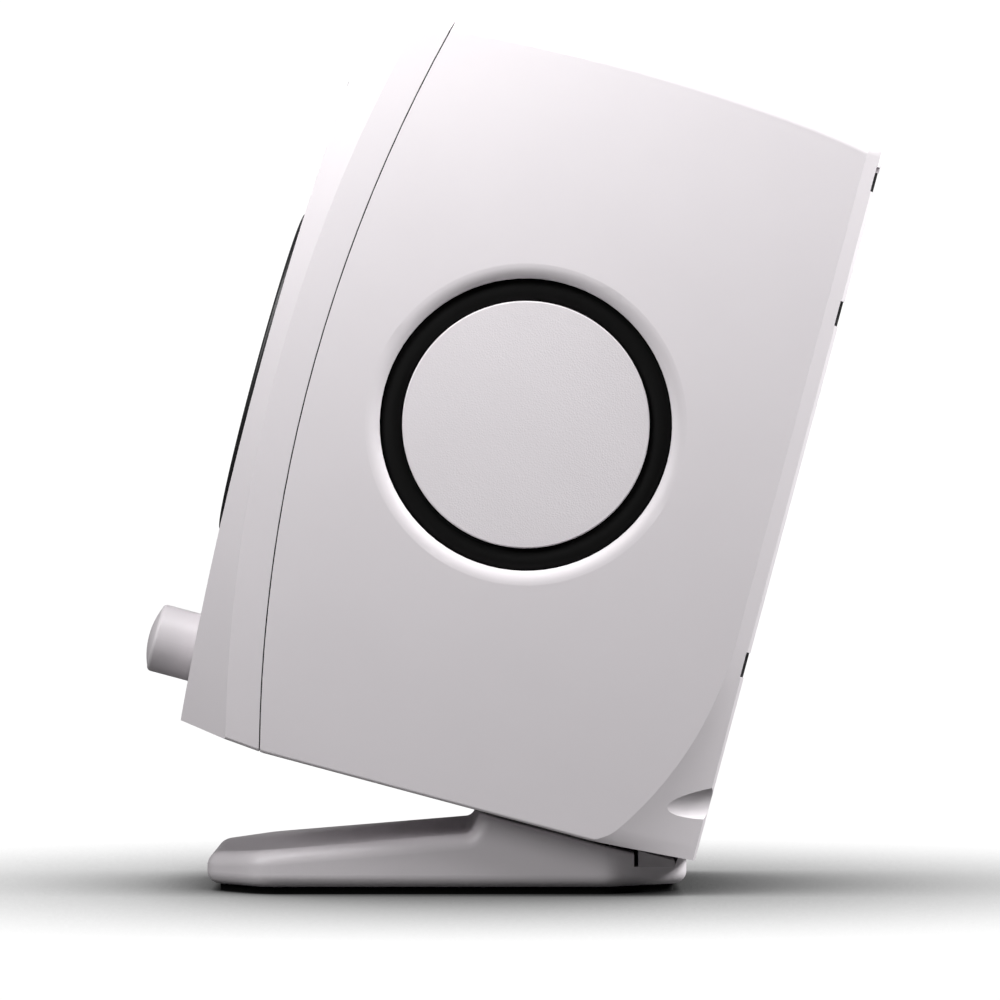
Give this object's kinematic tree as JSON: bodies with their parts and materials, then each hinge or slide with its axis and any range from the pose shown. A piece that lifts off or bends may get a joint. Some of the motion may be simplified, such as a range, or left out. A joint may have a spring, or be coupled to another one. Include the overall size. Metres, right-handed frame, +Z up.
{
  "type": "bookshelf speaker",
  "caption": "Compact powered monitor speaker leaned back on its own stand, with side radiators, front volume knob and rear sockets.",
  "frame": {"origin": "middle of the footprint, on the surface the stand rests on", "axes": "+Z up, front of the speaker towards -Y, +X to the right of a listener facing it"},
  "size_m": [0.115, 0.2036, 0.2413],
  "materials": {
    "cabinet_plastic": "satin moulded, fine grain",
    "knob_plastic": "satin",
    "stand_plastic": "satin moulded",
    "disc_skin": "fine leather grain",
    "rubber_black": "matt",
    "rubber_grey": "matt",
    "grille_steel": "black powder coat, perforated",
    "black_plastic": "fine texture",
    "cone_metal": "anodised grey",
    "foil": "folded foil",
    "cast_frame": "black cast",
    "plated_steel": "zinc plated",
    "screw_black": "black oxide",
    "magnet_ferrite": "sintered",
    "spider_cloth": "varnished cloth",
    "coil_copper": "enamelled wire",
    "panel_black": "fine powder coat",
    "jack_black": "moulded",
    "shell_steel": "plated",
    "board_green": "solder mask",
    "sink_aluminium": "extruded",
    "capacitor_sleeve": "sleeve",
    "foam_grey": "open-cell foam",
    "lead_jacket": "PVC",
    "insert_brass": "turned",
    "light_pipe": "translucent"
  },
  "bodies": {
    "cabinet": {"rear_cabinet": "cabinet_plastic", "front_baffle": "cabinet_plastic", "baffle_gasket": "rubber_black", "baffle_screws": "plated_steel", "woofer_grille": "grille_steel", "woofer_basket": "cast_frame", "woofer_screws": "screw_black", "woofer_surround": "rubber_black", "woofer_spider": "spider_cloth", "woofer_top_plate": "plated_steel", "woofer_magnet": "magnet_ferrite", "woofer_back_plate": "plated_steel", "tweeter_waveguide": "black_plastic", "tweeter_screws": "screw_black", "tweeter_diaphragm": "foil", "tweeter_magnet": "cast_frame", "encoder_body": "shell_steel", "headphone_jack": "jack_black", "status_light": "light_pipe", "front_board": "board_green", "rear_panel": "panel_black", "rear_panel_screws": "screw_black", "line_jacks": "jack_black", "usb_socket": "shell_steel", "link_socket": "jack_black", "dc_inlet": "jack_black", "power_switch": "black_plastic", "tuning_switches": "shell_steel", "amplifier_board": "board_green", "board_standoffs": "plated_steel", "heat_sink": "sink_aluminium", "capacitors": "capacitor_sleeve", "damping_foam": "foam_grey", "driver_leads": "lead_jacket", "front_cable": "lead_jacket", "threaded_insert": "insert_brass", "radiator_frames": "black_plastic", "radiator_screws": "screw_black", "right_radiator_surround": "rubber_black", "left_radiator_surround": "rubber_black", "stand_base": "stand_plastic", "stand_sole": "rubber_black", "stand_top_pad": "rubber_black", "stand_rear_pad": "rubber_grey"},
    "woofer_moving": {"woofer_cone": "cone_metal", "woofer_dust_cap": "cone_metal", "voice_coil": "coil_copper"},
    "right_radiator": {"right_radiator_disc": "disc_skin", "right_radiator_weight": "plated_steel"},
    "left_radiator": {"left_radiator_disc": "disc_skin", "left_radiator_weight": "plated_steel"},
    "press_stage": {"encoder_plunger": "black_plastic"},
    "knob": {"volume_knob": "knob_plastic", "encoder_shaft": "plated_steel"},
    "power_button": {"power_button": "black_plastic"},
    "slider_1": {"tuning_slider_1": "jack_black"},
    "slider_2": {"tuning_slider_2": "jack_black"},
    "slider_3": {"tuning_slider_3": "jack_black"},
    "thumb_screw": {"stand_thumb_screw": "screw_black"}
  },
  "joints": [
    {"name": "woofer_slide", "type": "slide", "parent": "cabinet", "child": "woofer_moving", "axis": [0, -0.9659, 0.2588], "range_m": [-0.002, 0.002], "stiffness_N_per_m": 1200, "deforming": ["woofer_surround", "woofer_spider"]},
    {"name": "right_radiator_slide", "type": "slide", "parent": "cabinet", "child": "right_radiator", "axis": [1, 0, 0], "range_m": [-0.003, 0.003], "stiffness_N_per_m": 1000, "deforming": ["right_radiator_surround"]},
    {"name": "left_radiator_slide", "type": "slide", "parent": "cabinet", "child": "left_radiator", "axis": [-1, 0, 0], "range_m": [-0.003, 0.003], "stiffness_N_per_m": 1000, "deforming": ["left_radiator_surround"]},
    {"name": "knob_press", "type": "slide", "parent": "cabinet", "child": "press_stage", "axis": [0, 0.9659, -0.2588], "range_m": [0, 0.0006], "stiffness_N_per_m": 1500, "springref_m": -0.0004},
    {"name": "knob_turn", "type": "hinge", "parent": "press_stage", "child": "knob", "pos_m": [0.028, -0.0859, 0.06663], "axis": [0, -0.9659, 0.2588], "continuous": true},
    {"name": "power_press", "type": "slide", "parent": "cabinet", "child": "power_button", "axis": [0, -0.9659, 0.2588], "range_m": [0, 0.002], "stiffness_N_per_m": 500, "springref_m": -0.0005},
    {"name": "thumb_screw_turn", "type": "hinge", "parent": "cabinet", "child": "thumb_screw", "pos_m": [0, 0.00559, 0.02172], "axis": [0, 0.2588, 0.9659], "continuous": true},
    {"name": "slider_1_slide", "type": "slide", "parent": "cabinet", "child": "slider_1", "axis": [1, 0, 0], "range_m": [-0.002, 0.002]},
    {"name": "slider_2_slide", "type": "slide", "parent": "cabinet", "child": "slider_2", "axis": [1, 0, 0], "range_m": [-0.002, 0.002]},
    {"name": "slider_3_slide", "type": "slide", "parent": "cabinet", "child": "slider_3", "axis": [1, 0, 0], "range_m": [-0.002, 0.002]}
  ]
}
